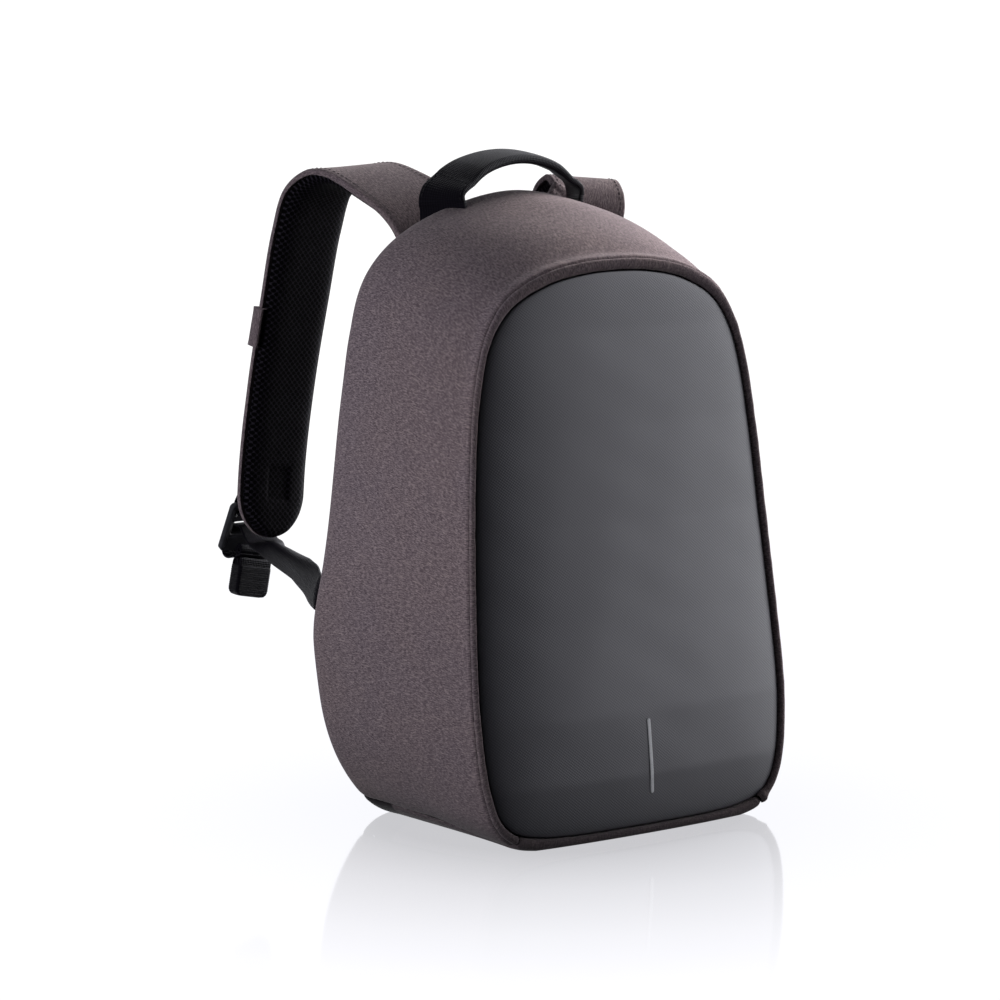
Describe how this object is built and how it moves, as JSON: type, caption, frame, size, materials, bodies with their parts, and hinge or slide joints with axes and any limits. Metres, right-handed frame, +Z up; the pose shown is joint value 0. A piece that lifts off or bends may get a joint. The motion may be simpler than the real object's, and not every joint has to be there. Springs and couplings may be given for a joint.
{
  "type": "anti theft backpack",
  "caption": "Soft day backpack standing on its base, with a domed smooth front panel in a rolled rim, a top carry handle and padded shoulder straps with webbing adjusters.",
  "frame": {"origin": "On the floor, in the middle of the flat base that the bag stands on", "axes": "+Z up; the front panel faces -Y and the shoulder straps hang at +Y, towards the wearer's back; +X is to the right when the bag is seen from the front"},
  "size_m": [0.2936, 0.3403, 0.4292],
  "materials": {
    "fabric": "heathered mauve grey polyester cloth",
    "panel": "charcoal coated skin, finely embossed, satin",
    "mesh": "black spacer mesh over foam",
    "webbing": "black woven webbing",
    "plastic": "black moulded plastic, satin",
    "reflective": "light grey reflective bar"
  },
  "bodies": {
    "root": {"side_shell": "fabric", "rim_binding": "fabric", "base_panel": "fabric", "strap_left_cover": "fabric", "strap_right_cover": "fabric", "strap_left_band": "fabric", "front_panel": "panel", "back_panel": "mesh", "strap_left_pad": "mesh", "strap_right_pad": "mesh", "back_gusset": "webbing", "handle": "webbing", "web_left": "webbing", "web_right": "webbing", "anchor_left": "webbing", "anchor_right": "webbing", "tail_left": "webbing", "tail_right": "webbing", "keeper_left": "webbing", "keeper_right": "webbing", "lock_left": "plastic", "lock_right": "plastic", "reflective_bar": "reflective"}
  },
  "joints": []
}
